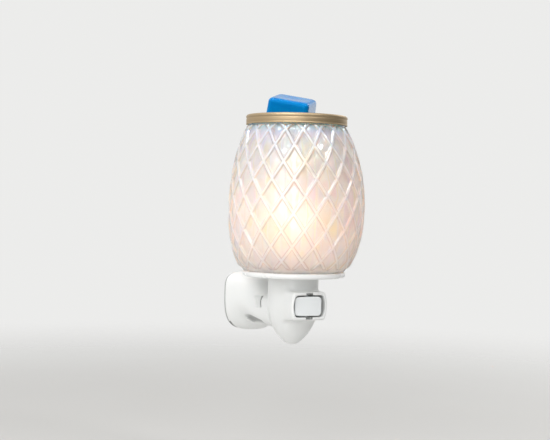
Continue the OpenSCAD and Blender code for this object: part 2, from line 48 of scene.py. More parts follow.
# ---------------------------------------------------------------- mesh helpers
def make(name, verts, faces, body, mat, replaces=(), smooth=True, angle=None):
    """verts in millimetres"""
    me = bpy.data.meshes.new(name)
    verts = np.asarray(verts, float) * 0.001
    me.from_pydata(verts.tolist(), [], [list(map(int, f)) for f in faces] if not isinstance(faces, np.ndarray) else faces.tolist())
    me.validate()
    ob = bpy.data.objects.new(name, me)
    bpy.context.scene.collection.objects.link(ob)
    me.materials.append(mat)
    me.polygons.foreach_set("use_smooth", [smooth] * len(me.polygons))
    if angle is not None:
        me.set_sharp_from_angle(angle=math.radians(angle))
    me.update()
    if body:
        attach(ob, body)
    if replaces:
        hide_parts(*replaces)
    return ob


def revolve(profile, n=192, cx=0.0, cy=AX, closed=True):
    """Ring mesh round the upright axis; profile is [(r, z)]; points with r = 0 become poles"""
    verts, rings = [], []
    for r, z in profile:
        if r < 1e-6:
            rings.append([len(verts)])
            verts.append((cx, cy, z))
        else:
            base = len(verts)
            a = 2 * math.pi * np.arange(n) / n
            verts.extend(zip(cx + r * np.cos(a), cy + r * np.sin(a), np.full(n, z)))
            rings.append(list(range(base, base + n)))
    faces = []
    m = len(rings)
    for i in range(m if closed else m - 1):
        a, b = rings[i], rings[(i + 1) % m]
        if len(a) == 1 and len(b) == 1:
            continue
        for k in range(n):
            k2 = (k + 1) % n
            if len(a) == 1:
                faces.append((a[0], b[k2], b[k]))
            elif len(b) == 1:
                faces.append((a[k], a[k2], b[0]))
            else:
                faces.append((a[k], a[k2], b[k2], b[k]))
    return verts, faces


def arc(cr, cz, r, a0, a1, n):
    return [(cr + r * math.cos(math.radians(a0 + (a1 - a0) * i / n)), cz + r * math.sin(math.radians(a0 + (a1 - a0) * i / n))) for i in range(n + 1)]


def mark(ob, name, arr):
    at = ob.data.attributes.new(name, "FLOAT", "POINT")
    at.data.foreach_set("value", np.asarray(arr, np.float32))


def surface_nets(F, lo, h):
    """Closed quad mesh of F = 0 (F < 0 inside) on a lattice of step h that starts at lo"""
    nx, ny, nz = F.shape
    inside = F < 0
    c = np.zeros((nx - 1, ny - 1, nz - 1), np.uint8)
    for dx in (0, 1):
        for dy in (0, 1):
            for dz in (0, 1):
                c += inside[dx:nx - 1 + dx, dy:ny - 1 + dy, dz:nz - 1 + dz]
    act = (c > 0) & (c < 8)
    I, J, K = np.nonzero(act)
    idx = np.full(act.shape, -1, np.int64)
    idx[I, J, K] = np.arange(len(I))
    P = np.zeros((len(I), 3))
    W = np.zeros(len(I))
    corners = [(a, b, d) for a in (0, 1) for b in (0, 1) for d in (0, 1)]
    for p in corners:
        for ax in range(3):
            if p[ax] == 0:
                q = list(p)
                q[ax] = 1
                f0 = F[I + p[0], J + p[1], K + p[2]].astype(float)
                f1 = F[I + q[0], J + q[1], K + q[2]].astype(float)
                m = (f0 < 0) != (f1 < 0)
                t = np.where(m, f0 / np.where(m, f0 - f1, 1), 0)
                pos = np.tile(np.array(p, float), (len(I), 1))
                pos[:, ax] = t
                P[m] += pos[m]
                W[m] += 1
    P /= W[:, None]
    V = (P + np.stack([I, J, K], 1)) * h + np.array(lo)
    quads = []
    # edges along each axis, the four cells round each
    for ax in range(3):
        o = [a for a in range(3) if a != ax]
        sl0 = [slice(None)] * 3
        sl1 = [slice(None)] * 3
        sl0[ax] = slice(0, -1)
        sl1[ax] = slice(1, None)
        for a in o:
            sl0[a] = slice(1, -1)
            sl1[a] = slice(1, -1)
        a0, a1 = inside[tuple(sl0)], inside[tuple(sl1)]
        for flip, m in ((False, a0 & ~a1), (True, ~a0 & a1)):
            E = np.stack(np.nonzero(m), 1)
            if not len(E):
                continue
            for a in o:
                E[:, a] += 1
            def cell(da, db):
                Q = E.copy()
                Q[:, o[0]] -= da
                Q[:, o[1]] -= db
                return idx[Q[:, 0], Q[:, 1], Q[:, 2]]
            q = np.stack([cell(1, 1), cell(0, 1), cell(0, 0), cell(1, 0)], 1)
            if flip != (ax == 1):
                q = q[:, ::-1]
            quads.append(q)
    Q = np.concatenate(quads)
    # pull the points onto the surface
    G = np.gradient(F, h)
    for _ in range(2):
        S = (V - np.array(lo)) / h
        B = np.clip(np.floor(S).astype(int), 0, np.array(F.shape) - 2)
        T = S - B
        def tri(A):
            out = 0
            for a, b, d in corners:
                w = (T[:, 0] if a else 1 - T[:, 0]) * (T[:, 1] if b else 1 - T[:, 1]) * (T[:, 2] if d else 1 - T[:, 2])
                out = out + w * A[B[:, 0] + a, B[:, 1] + b, B[:, 2] + d]
            return out
        f = tri(F)
        g = np.stack([tri(A) for A in G], 1)
        n2 = np.maximum((g * g).sum(1), 0.05)
        step = f / n2
        step = np.clip(step, -0.5 * h, 0.5 * h)
        V = V - g * step[:, None]
    return V, Q


def smax(a, b, k):
    h = np.maximum(k - np.abs(a - b), 0) / k
    return np.maximum(a, b) + h * h * k * 0.25


def smin(a, b, k):
    return -smax(-a, -b, k)


def lattice(lo, hi, h):
    n = [int(math.ceil((hi[i] - lo[i]) / h)) + 1 for i in range(3)]
    ax = [np.float32(lo[i]) + np.float32(h) * np.arange(n[i], dtype=np.float32) for i in range(3)]
    return np.meshgrid(*ax, indexing="ij")


def pchip(xs, ys, x):
    """Smooth curve through the points with no overshoot"""
    xs, ys = np.asarray(xs, float), np.asarray(ys, float)
    h, d = np.diff(xs), np.diff(ys) / np.diff(xs)
    m = np.zeros(len(xs))
    for i in range(1, len(xs) - 1):
        if d[i - 1] * d[i] > 0:
            w1, w2 = 2 * h[i] + h[i - 1], h[i] + 2 * h[i - 1]
            m[i] = (w1 + w2) / (w1 / d[i - 1] + w2 / d[i])
    m[0], m[-1] = d[0], d[-1]
    x = np.clip(x, xs[0], xs[-1])
    i = np.clip(np.searchsorted(xs, x) - 1, 0, len(xs) - 2)
    t = (x - xs[i]) / h[i]
    return ((2 * t**3 - 3 * t**2 + 1) * ys[i] + (t**3 - 2 * t**2 + t) * h[i] * m[i]
            + (-2 * t**3 + 3 * t**2) * ys[i + 1] + (t**3 - t**2) * h[i] * m[i + 1])


def step01(a, b, x):
    t = np.clip((x - a) / (b - a), 0, 1)
    return t * t * (3 - 2 * t)


# ---------------------------------------------------------------- materials
class Mat:
    """Small builder for node materials"""

    def __init__(self, name):
        self.m = bpy.data.materials.new(name)
        self.m.use_nodes = True
        self.nt = self.m.node_tree
        self.b = self.nt.nodes["Principled BSDF"]
        self.out = self.nt.nodes["Material Output"]
        self.tc = None

    def n(self, kind, **kw):
        nd = self.nt.nodes.new(kind)
        for k, v in kw.items():
            setattr(nd, k, v)
        return nd

    def link(self, a, b):
        self.nt.links.new(a, b)

    def set(self, **kw):
        for k, v in kw.items():
            self.b.inputs[k.replace("_", " ")].default_value = v
        return self

    def coords(self, scale=(1, 1, 1), loc=(0, 0, 0)):
        """object coordinates in metres, scaled"""
        if self.tc is None:
            self.tc = self.n("ShaderNodeTexCoord")
        mp = self.n("ShaderNodeMapping")
        mp.inputs["Scale"].default_value = scale
        mp.inputs["Location"].default_value = loc
        self.link(self.tc.outputs["Object"], mp.inputs["Vector"])
        return mp.outputs["Vector"]

    def noise(self, scale, detail=3, rough=0.5, stretch=(1, 1, 1), loc=(0, 0, 0)):
        t = self.n("ShaderNodeTexNoise")
        t.inputs["Scale"].default_value = scale
        t.inputs["Detail"].default_value = detail
        t.inputs["Roughness"].default_value = rough
        self.link(self.coords(stretch, loc), t.inputs["Vector"])
        return t.outputs["Fac"]

    def ramp(self, fac, stops, interp="LINEAR"):
        r = self.n("ShaderNodeValToRGB")
        r.color_ramp.interpolation = interp
        el = r.color_ramp.elements
        while len(el) < len(stops):
            el.new(0.5)
        for e, (p, c) in zip(el, stops):
            e.position = p
            e.color = (*c, 1) if len(c) == 3 else c
        self.link(fac, r.inputs["Fac"])
        return r.outputs["Color"]

    def math(self, op, a, b=None, c=None):
        m = self.n("ShaderNodeMath", operation=op)
        for i, v in enumerate((a, b, c)):
            if v is None:
                continue
            if isinstance(v, (int, float)):
                m.inputs[i].default_value = v
            else:
                self.link(v, m.inputs[i])
        return m.outputs[0]

    def mix(self, fac, a, b, blend="MIX"):
        m = self.n("ShaderNodeMix", data_type="RGBA", blend_type=blend)
        m.clamp_factor = True
        for sock, v in ((m.inputs[0], fac), (m.inputs[6], a), (m.inputs[7], b)):
            if isinstance(v, (int, float)):
                sock.default_value = v
            elif isinstance(v, tuple):
                sock.default_value = (*v, 1) if len(v) == 3 else v
            else:
                self.link(v, sock)
        return m.outputs[2]

    def bump(self, height, strength=0.2, dist=0.0002):
        b = self.n("ShaderNodeBump")
        b.inputs["Strength"].default_value = strength
        b.inputs["Distance"].default_value = dist
        self.link(height, b.inputs["Height"])
        self.link(b.outputs["Normal"], self.b.inputs["Normal"])
        return b

    def to(self, socket, value):
        self.link(value, self.b.inputs[socket])


def plastic(name, base, rough=0.28, tint=0.02, grain=0.06, sss=0.0, hollow=None):
    """Moulded plastic: faint flow marks in the gloss, a very slight tone drift and a fine moulded skin; given a shade
    colour as the last argument, a vertex mark blends the base colour towards it as painted shade
    """
    m = Mat(name)
    lo = tuple(max(0, c * (1 - tint)) for c in base)
    hi = tuple(min(1, c * (1 + tint)) for c in base)
    col = m.ramp(m.noise(38, 3), [(0.3, lo), (0.7, hi)])
    # painted shade: the vertex mark darkens recesses, gaps and slots towards the given colour
    if hollow:
        shade_mask = m.n("ShaderNodeAttribute", attribute_name="hollow")
        col = m.mix(shade_mask.outputs["Fac"], col, hollow)
    m.to("Base Color", col)
    f = m.noise(55, 5, 0.6)
    m.to("Roughness", m.math("MULTIPLY_ADD", f, 0.12, rough - 0.06))
    m.bump(m.math("ADD", m.noise(2600, 2), m.math("MULTIPLY", m.noise(220, 2), 1.2)), grain, 0.00004)
    m.set(IOR=1.5)
    if sss:
        m.set(Subsurface_Weight=sss, Subsurface_Scale=0.002)
        m.b.inputs["Subsurface Radius"].default_value = (1.0, 0.9, 0.8)
    return m


def metal(name, base, rough=0.3, tone=0.12, streak=(1, 1, 1), scale=300, bump=0.1):
    m = Mat(name)
    lo = tuple(c * (1 - tone) for c in base)
    m.to("Base Color", m.ramp(m.noise(60, 4, 0.6), [(0.3, lo), (0.72, base)]))
    f = m.noise(scale, 4, 0.6, streak)
    m.to("Roughness", m.math("MULTIPLY_ADD", f, 0.25, rough - 0.12))
    m.bump(f, bump, 0.00005)
    m.set(Metallic=1.0)
    return m


# white shell plastic; its last colour is the painted shade laid into recesses, gaps and slots
M_white = plastic("white_gloss", (0.81, 0.82, 0.81), 0.30, 0.012, 0.05, 0.05, (0.16, 0.17, 0.16))
M_rock = plastic("rocker_white", (0.80, 0.825, 0.83), 0.26, 0.012, 0.05, 0.05)
# painted light: a paler copy of the white plastic for the seat plate, standing in for lamp light falling on it
M_plate_lamplit = plastic("white_plate_lamplit", (0.89, 0.895, 0.89))
M_ivory = plastic("ivory_moulded", (0.74, 0.70, 0.58), 0.45, 0.04, 0.12)
M_grey = plastic("grey_moulded", (0.38, 0.38, 0.37), 0.5, 0.05, 0.12)
M_black = plastic("black_moulded", (0.02, 0.02, 0.02), 0.4, 0.05, 0.1)
M_wireb = plastic("wire_black", (0.02, 0.02, 0.022), 0.42, 0.05, 0.1)
M_wirew = plastic("wire_white", (0.75, 0.75, 0.73), 0.42, 0.03, 0.1)
M_brass = metal("brass_strip", (0.80, 0.60, 0.28), 0.32, 0.15, (1, 1, 6), 250)
M_blade = metal("blade_metal", (0.80, 0.68, 0.42), 0.28, 0.12, (1, 12, 1), 250)
M_cap = metal("cap_metal", (0.80, 0.65, 0.36), 0.25, 0.12, (1, 1, 8), 200)
M_steel = metal("plated_steel", (0.60, 0.61, 0.62), 0.3, 0.12)

# champagne gold of the spun dish: fine turned lines run round it
m = Mat("champagne_gold")
lines = m.noise(700, 2, 0.5, (0.03, 0.03, 1.6))
broad = m.noise(26, 3, 0.5)
m.to("Base Color", m.mix(m.math("MULTIPLY", lines, 0.5), m.ramp(broad, [(0.3, (0.50, 0.385, 0.24)), (0.7, (0.56, 0.435, 0.277))]), (0.40, 0.30, 0.18)))
m.to("Roughness", m.math("MULTIPLY_ADD", lines, 0.18, 0.41))
m.bump(lines, 0.3, 0.00006)
m.set(Metallic=1.0)
M_gold = m

# scented wax: deep translucent blue with a soft skin
m = Mat("blue_wax")
cloud = m.noise(60, 4, 0.55)
m.to("Base Color", m.ramp(cloud, [(0.25, (0.0, 0.165, 0.46)), (0.6, (0.0, 0.205, 0.53)), (0.85, (0.001, 0.235, 0.58))]))
m.to("Roughness", m.math("MULTIPLY_ADD", m.noise(140, 4, 0.6), 0.16, 0.08))
m.bump(m.math("ADD", m.noise(130, 3), m.math("MULTIPLY", m.noise(900, 2), 0.2)), 0.18, 0.0003)
m.set(Subsurface_Weight=0.3, Subsurface_Scale=0.003, IOR=1.5, Specular_Tint=(0.02, 0.40, 1.0, 1), Coat_Weight=0.06, Coat_Roughness=0.18, Coat_IOR=1.5)
m.b.inputs["Subsurface Radius"].default_value = (0.2, 0.6, 1.0)
M_wax = m

# lamp glass: frosted inside and lit
m = Mat("lamp_frosted")
gt = m.n("ShaderNodeSeparateXYZ")
m.link(m.coords(), gt.inputs[0])
glow = m.math("SUBTRACT", 1.0, m.math("MULTIPLY", m.math("ABSOLUTE", m.math("SUBTRACT", gt.outputs[2], 0.0515)), 125.0))
glow = m.math("MAXIMUM", glow, 0.14)
fro = m.noise(900, 2)
m.to("Base Color", m.ramp(fro, [(0.3, (0.92, 0.90, 0.86)), (0.7, (0.98, 0.96, 0.92))]))
m.to("Emission Color", m.ramp(glow, [(0.1, (1.0, 0.52, 0.28)), (0.9, (1.0, 0.78, 0.56))]))
m.to("Emission Strength", m.math("MULTIPLY", glow, 20.0))
m.set(Roughness=0.35)
M_lamp = m

m = Mat("filament_glow")
m.to("Base Color", m.ramp(m.noise(800, 2), [(0.3, (0.3, 0.25, 0.2)), (0.7, (0.5, 0.4, 0.3))]))
m.set(Emission_Color=(1.0, 0.55, 0.2, 1), Emission_Strength=12.0, Roughness=0.5)
M_fil = m

m = Mat("stem_glass")
m.to("Base Color", m.ramp(m.noise(300, 2), [(0.3, (0.85, 0.9, 0.9)), (0.7, (0.95, 0.97, 0.97))]))
m.set(Roughness=0.1, Transmission_Weight=0.8)
M_stem = m

# pearl glass of the shade: each diamond has its own cast, and the lustre is bluer round the neck, partly the coating's
# own tint and partly painted iridescent reflection; further painted light in the base colour is marked below
m = Mat("pearl_glass")
att = m.n("ShaderNodeAttribute", attribute_name="tint")
att2 = m.n("ShaderNodeAttribute", attribute_name="rib")
sep = m.n("ShaderNodeSeparateXYZ")
m.link(m.coords(), sep.inputs[0])
drift = m.noise(60, 3, 0.5)
# painted reflection: a slanting split across each diamond gives its two halves different casts
att3 = m.n("ShaderNodeAttribute", attribute_name="reflection_split")
hue = m.math("FRACT", m.math("ADD", m.math("ADD", att.outputs["Fac"], m.math("MULTIPLY", drift, 0.9)), m.math("MULTIPLY", att3.outputs["Fac"], 0.37)))
pearl = m.ramp(hue, [(0.0, (1.0, 0.95, 0.92)), (0.2, (1.0, 0.86, 0.76)), (0.36, (1.0, 0.97, 0.93)), (0.52, (0.92, 0.85, 0.95)), (0.66, (1.0, 0.80, 0.83)), (0.78, (1.0, 0.98, 0.95)), (0.9, (1.0, 0.87, 0.64)), (1.0, (1.0, 0.95, 0.92))])
# bluer lustre towards the neck, in patches: partly the coating's own tint, partly painted iridescent reflection
high = m.math("MULTIPLY", m.math("SUBTRACT", sep.outputs[2], 0.093), 110.0)
high = m.math("MINIMUM", m.math("MAXIMUM", high, 0.0), 1.0)
lustre = m.ramp(high, [(0.0, (1.0, 0.88, 0.93)), (0.35, (0.95, 0.74, 1.0)), (0.7, (0.66, 0.74, 1.0)), (1.0, (0.60, 0.95, 1.0))])
col = m.mix(m.math("MULTIPLY", high, m.math("MULTIPLY_ADD", m.noise(70, 2), 1.2, 0.45)), pearl, lustre)
# painted lamp glow: the foot is warmed towards peach
foot = m.math("MINIMUM", m.math("MAXIMUM", m.math("MULTIPLY", m.math("SUBTRACT", 0.046, sep.outputs[2]), 50.0), 0.0), 1.0)
col = m.mix(m.math("MULTIPLY", foot, 0.7), col, (1.0, 0.93, 0.87))
# painted highlight: rib crests lightened; painted shadow lines: their bevels tinted tan
bevel_shadow = m.math("MULTIPLY", m.math("MULTIPLY", att2.outputs["Fac"], m.math("SUBTRACT", 1.0, att2.outputs["Fac"])), 4.0)
col = m.mix(m.math("MULTIPLY", att2.outputs["Fac"], 0.4), col, (1.0, 0.94, 0.92))
col = m.mix(m.math("MULTIPLY", bevel_shadow, 0.9), col, (0.74, 0.58, 0.51))
# painted shade and reflection: in upper cells with a high random tint, one half of the split goes grey-brown, away from
# the ribs
dark_half_shade = m.math("MULTIPLY", m.math("MINIMUM", m.math("MAXIMUM", m.math("MULTIPLY", m.math("SUBTRACT", sep.outputs[2], 0.066), 40.0), 0.0), 1.0), m.math("SUBTRACT", 1.0, att3.outputs["Fac"]))
col = m.mix(m.math("MULTIPLY", dark_half_shade, m.math("MULTIPLY", m.math("MULTIPLY", m.math("SUBTRACT", 1.0, att2.outputs["Fac"]), 0.72), m.math("MINIMUM", m.math("MAXIMUM", m.math("MULTIPLY_ADD", att.outputs["Fac"], 8.0, -5.0), 0.0), 1.0))), col, (0.40, 0.33, 0.32))
m.to("Base Color", col)
clear = m.math("MINIMUM", m.math("MAXIMUM", m.math("MULTIPLY", m.math("SUBTRACT", sep.outputs[2], 0.072), 45.0), 0.0), 1.0)
m.to("Roughness", m.math("ADD", m.math("MULTIPLY", m.noise(300, 3), 0.08), m.math("MULTIPLY_ADD", clear, -0.10, 0.50)))
m.to("Thin Film Thickness", m.math("MULTIPLY_ADD", m.noise(45, 2), 120.0, 160.0))
m.bump(m.math("ADD", m.noise(150, 3), m.math("MULTIPLY", m.noise(60, 2, 0.5, (1, 1, 0.45)), 2.0)), 0.3, 0.0005)
m.to("Transmission Weight", m.math("ADD", m.math("MULTIPLY_ADD", clear, 0.05, 0.5), m.math("MULTIPLY", att2.outputs["Fac"], -0.2)))
m.set(IOR=1.45, Coat_Weight=1.0, Coat_Roughness=0.035, Coat_IOR=1.8, Thin_Film_IOR=1.7, Subsurface_Weight=1.0, Subsurface_Scale=0.012)
m.b.inputs["Subsurface Radius"].default_value = (1.0, 0.8, 0.6)
M_glass = m

CAD_FINISH = {
    "plug_disc": M_white, "line_blade": M_blade, "neutral_blade": M_blade, "line_arc": M_brass, "neutral_arc": M_brass,
    "plug_pod": M_white, "brush_carrier": M_grey, "line_brush": M_brass, "neutral_brush": M_brass,
    "pivot_washer": M_steel, "pivot_screw": M_steel, "rear_shell": M_white, "front_shell": M_white,
    "housing_screws": M_steel, "shade_seat": M_white, "socket_body": M_ivory, "socket_sleeve": M_brass,
    "centre_contact": M_brass, "retaining_ring": M_white, "glass_shade": M_glass, "bulb_shell": M_cap,
    "bulb_insulator": M_black, "bulb_contact": M_steel, "bulb_glass": M_lamp, "bulb_stem": M_stem, "filament": M_fil,
    "switch_rocker": M_rock, "rocker_plunger": M_ivory, "rocker_spring": M_steel, "seesaw_contact": M_brass,
    "switch_base": M_grey, "line_terminal": M_brass, "load_terminal": M_brass, "line_wire": M_wireb,
    "load_wire": M_wireb, "neutral_wire": M_wirew, "wax_dish": M_gold, "wax_melt": M_wax,
}
for nm, mt in CAD_FINISH.items():
    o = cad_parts[nm]
    o.data.materials.clear()
    o.data.materials.append(mt.m)

# ---------------------------------------------------------------- body shapes as distance fields
HW, Z0, ZB, RN = 14.4, 2.0, -20.8, 7.0
RA = (HW**2 + (Z0 - ZB - RN) ** 2 - RN**2) / (2 * (HW - RN))
FE = math.atan2(Z0 - ZB - RN, RA - HW)


def body_field(X, Y, Z):
    """Upright round body with a pointed foot"""
    r = np.sqrt(X * X + (Y - AX) ** 2)
    zz = np.minimum(Z, Z0)
    dx, dz = r - (HW - RA), Z0 - zz
    a = np.arctan2(dz, dx)
    flank = np.sqrt(dx * dx + dz * dz) - RA
    nose = np.sqrt(r * r + (zz - (ZB + RN)) ** 2) - RN
    return np.where(a < FE, flank, nose)


def bulged(U, V, hw, hh, sag, rc):
    """Rounded rectangle in a plane whose left and right sides bulge outward"""
    R = (hh * hh + sag * sag) / (2 * sag)
    side = np.sqrt((np.abs(U) - (hw - R)) ** 2 + V * V) - R
    return smax(side, np.abs(V) - hh, rc)


SW_Z = 2.5
BEZ = AX - 20.0       # face of the switch frame

# front shell with the switch frame
h = 0.23
X, Y, Z = lattice((-15.2, -76.6, -21.6), (15.2, -55.0, 18.6), h)
F = smax(body_field(X, Y, Z), Z - (SEAT_Z - 0.05), 0.3)
b2 = bulged(X, Z - SW_Z, 11.35, 7.95, 1.45, 1.6)
flare = 0.55 * step01(-73.5, -64.0, Y) ** 1.0
frame_f = smax(b2 - flare, BEZ - Y, 1.5)
frame_f = np.maximum(frame_f, Y - (AX - 3))
F = smin(F, frame_f, 2.6)
# the switch opening is cut into the frame, its edge slightly rounded
o2 = bulged(X, Z - SW_Z, 10.0, 6.15, 1.6, 1.5)
F = smax(F, -np.maximum(o2, Y - (AX - 9.0)), 0.35)
for s in (-1, 1):
    notch = np.maximum(np.maximum(np.abs(X) - 2.2, np.abs(Z - SW_Z - s * 6.6) - 0.75), Y - (BEZ + 2.4))
    F = np.maximum(F, -notch)
F = np.maximum(F, Y - AX + 0.02)
V, Q = surface_nets(F.astype(np.float32), (-15.2, -76.6, -21.6), h)
ob = make("housing_front", V, Q, "housing", M_white.m, ("front_shell",))
x, y, z = V[:, 0], V[:, 1], V[:, 2]
# painted shade inside the switch opening, darker deeper in, and in the rocker's pivot notches
opening_shade = bulged(x, z - SW_Z, 10.1, 6.25, 1.6, 1.5) < 0.12
notch_shade = (np.abs(x) < 2.35) & (np.abs(np.abs(z - SW_Z) - 6.6) < 0.9) & (y < BEZ + 2.6)
mark(ob, "hollow", np.maximum(np.where(opening_shade & (y < AX - 8.5), 0.3 * step01(BEZ + 0.5, BEZ + 2.5, y), 0), np.where(notch_shade, 0.6 * step01(BEZ + 0.1, BEZ + 0.9, y), 0)))

# rear shell
h = 0.3
X, Y, Z = lattice((-15.3, -56.1, -22.2), (15.3, -40.2, 18.9), h)
F = smax(body_field(X, Y, Z), Z - (SEAT_Z - 0.05), 0.3)
F = smax(F, AX + 0.02 - Y, 0.2)
V, Q = surface_nets(F.astype(np.float32), (-15.3, -56.1, -22.2), h)
make("housing_rear", V, Q, "housing", M_white.m, ("rear_shell",))

# plug pod: distance from wall, half width, widest height, top, foot, top exponent, foot exponent
ROWS = np.array([
    [0.0, 17.8, 5.0, 17.8, -17.7, 3.6, 3.2],
    [4.0, 17.5, 5.0, 17.8, -17.7, 3.6, 3.1],
    [9.0, 16.8, 5.0, 17.7, -17.2, 3.6, 2.5],
    [15.0, 15.8, 4.0, 17.4, -15.3, 3.5, 2.05],
    [21.0, 14.7, 2.0, 16.6, -13.4, 3.3, 2.1],
    [27.0, 13.9, 0.0, 15.0, -12.5, 3.1, 2.3],
    [31.0, 13.3, -1.0, 12.4, -12.3, 3.0, 2.5],
    [34.0, 12.9, -2.0, 8.9, -12.4, 3.0, 2.6],
    [37.0, 12.6, -2.5, 7.2, -12.5, 3.0, 2.6],
    [49.5, 12.4, -2.5, 7.0, -12.8, 3.0, 2.6]])
h = 0.32
lo = (-18.5, -50.0, -18.9)
X, Y, Z = lattice(lo, (18.5, 0.8, 18.7), h)
yl = -Y[0, :, 0].astype(float)
hw, zm, zt, zb, pt, pb = [pchip(ROWS[:, 0], ROWS[:, i], yl)[None, :, None] for i in range(1, 7)]
up = Z > zm
p = np.where(up, pt, pb)
H = np.where(up, zt - zm, zm - zb)
f = (np.abs(X) / hw) ** p + (np.abs(Z - zm) / H) ** p
g = np.maximum(f, 1e-6) ** (1 / p) - 1
gr = np.gradient(g.astype(np.float32), h)
D = g / np.maximum(np.sqrt(gr[0] ** 2 + gr[1] ** 2 + gr[2] ** 2), 0.02)
del gr, f, g
# recessed finger grip low on each flank, with slanting ribs in it
u = -Y
zc = -8.9 - 0.165 * (u - 17.0)
w = 3.7 * np.sqrt(np.clip((u - 17.6) / 7.0, 0, 1)) * np.sqrt(np.clip((42.5 - u) / 5.0, 0, 1))
w = np.where(w > 0, w, -1.0)
mask = step01(-0.25, 0.35, w - np.abs(Z - zc)) * step01(5.0, 7.0, np.abs(X))
ribs = 0.5 + 0.5 * np.cos(2 * math.pi * (u * 0.80 + (Z - zc) * 0.75) / 1.55)
D = D + mask * (2.3 - 1.1 * ribs)
# fine joint of the back rim
D = D + 0.5 * np.exp(-((Y + 1.8) / 0.30) ** 2)
# and a short pry slot at each lower corner of it
corner = step01(6.2, 6.8, np.abs(X)) * step01(-12.6, -13.2, Z)
D = D + 2.0 * corner * step01(-0.2, 0.2, 1.3 - np.abs(Y + 2.3))
D = smax(D, Y + 0.05, 1.3)
D = np.maximum(D, -49.2 - Y)
# clear of the body, and the mouth of the turning disc
D = np.maximum(D, 0.03 - body_field(X, Y, Z))
mouth = np.maximum(np.sqrt(X * X + Z * Z) - 13.47, -9.0 - Y)
D = smax(D, -mouth, 0.5)
# latch wells, each with a low oval tongue and a slit at its front end
far = (np.abs(X) > 6.5)
well = step01(-0.3, 0.3, 2.9 - np.abs(Y + 36.0 - 0.5 * (Z - 2.1))) * step01(-0.3, 0.3, 3.3 - np.abs(Z - 2.1)) * far
slit = step01(-0.2, 0.2, 0.8 - np.abs(Y + 37.9 - 0.5 * (Z - 2.1))) * step01(-0.2, 0.2, 2.9 - np.abs(Z - 2.1)) * far
oval = np.exp(-((Y + 35.2 - 0.5 * (Z - 2.1)) / 1.3) ** 2 - ((Z - 2.1) / 2.0) ** 2) * far
D = D + 0.55 * well + 2.0 * slit - 0.35 * oval
V, Q = surface_nets(D.astype(np.float32), lo, h)
ob = make("plug_housing", V, Q, "housing", M_white.m, ("plug_pod",))
x, y, z = V[:, 0], V[:, 1], V[:, 2]
u = -y
zc = -8.9 - 0.165 * (u - 17.0)
w = 3.7 * np.sqrt(np.clip((u - 17.6) / 7.0, 0, 1)) * np.sqrt(np.clip((42.5 - u) / 5.0, 0, 1))
w = np.where(w > 0, w, -1.0)
# painted shade: finger grips darkened, more between their ribs and towards the body end, plus the back rim joint, its
# pry slots, the latch slits and faintly the latch wells
rib_v = 0.5 + 0.5 * np.cos(2 * math.pi * (u * 0.80 + (z - zc) * 0.75) / 1.55)
low = step01(-0.6, 0.9, w - np.abs(z - zc)) * step01(5.0, 7.0, np.abs(x)) * (0.88 - 0.36 * rib_v) * (1 + 0.25 * step01(30, 40, u))
rim_joint_shade = 1.0 * np.exp(-((y + 1.8) / 0.52) ** 2)
rim_joint_shade = np.maximum(rim_joint_shade, step01(6.0, 6.8, np.abs(x)) * step01(-12.4, -13.2, z) * step01(-0.3, 0.1, 1.45 - np.abs(y + 2.3)))
slit_shade = 1.0 * step01(-0.25, 0.15, 0.95 - np.abs(y + 37.9 - 0.5 * (z - 2.1))) * step01(-0.25, 0.15, 2.95 - np.abs(z - 2.1)) * (np.abs(x) > 6.5)
well = 0.15 * step01(-0.3, 0.3, 3.0 - np.abs(y + 36.0 - 0.5 * (z - 2.1))) * step01(-0.3, 0.3, 3.4 - np.abs(z - 2.1)) * (np.abs(x) > 6.5)
mark(ob, "hollow", np.clip(np.maximum.reduce([low, rim_joint_shade, slit_shade, well]), 0, 1))
del D, X, Y, Z, F, mask, ribs, mouth, well, slit, oval, far

# ---------------------------------------------------------------- rocker
h = 0.15
lo = (-9.0, -5.6, -8.2)
X, Y, Z = lattice(lo, (9.0, 3.2, 8.2), h)
side = smax(np.abs(X) - 8.0, np.abs(Z) - 5.4, 2.6)
crown = np.sqrt(X * X + (Y - 55.5) ** 2) - 60.0
c = smax(side, crown, 0.9)
c = np.maximum(c, Y - 2.0)
c = np.maximum(c, -np.maximum(np.maximum(np.abs(X) - 6.6, np.abs(Z) - 4.0), -2.4 - Y))
pin = np.maximum(np.sqrt(X * X + Y * Y) - 1.1, np.abs(Z) - 7.0)
c = smin(c, pin, 0.4)
V, Q = surface_nets(c.astype(np.float32), lo, h)
a = math.radians(-8)
Rz = np.array([[math.cos(a), -math.sin(a), 0], [math.sin(a), math.cos(a), 0], [0, 0, 1]])
make("rocker_cap", V @ Rz.T + np.array([0, -71.0, SW_Z]), Q, "rocker", M_rock.m, ("switch_rocker",))
del X, Y, Z, c, pin, side, crown

# ---------------------------------------------------------------- seat plate
prof = [(10.4, GLASS_Z), (26.8, GLASS_Z), (27.4, GLASS_Z - 0.05)] + arc(29.5 - 1.25, GLASS_Z - 1.35, 1.25, 88, 0, 8) + arc(29.5 - 1.6, SEAT_Z + 1.6, 1.6, 0, -90, 9) + [(26.5, SEAT_Z), (15.2, SEAT_Z), (15.0, SEAT_Z), (14.3, SEAT_Z), (10.4, SEAT_Z)]
v, f = revolve(prof, 224)
# the seat plate takes the paler, painted-lamp-light copy of the white plastic
make("seat_plate", v, [x[::-1] for x in f], "housing", M_plate_lamplit.m, ("shade_seat",), angle=40)

# ---------------------------------------------------------------- glass shade with its raised lattice
G_R, G_MID = 38.7, 58.0


def egg(z):
    z = np.asarray(z, float)
    up = G_R * np.sqrt(np.maximum(0, 1 - ((z - G_MID) / 65.5) ** 2))
    dn = G_R * np.sqrt(np.maximum(0, 1 - (np.maximum(0, G_MID - z) / 52.5) ** 2.5))
    return np.where(z > G_MID, up, dn)


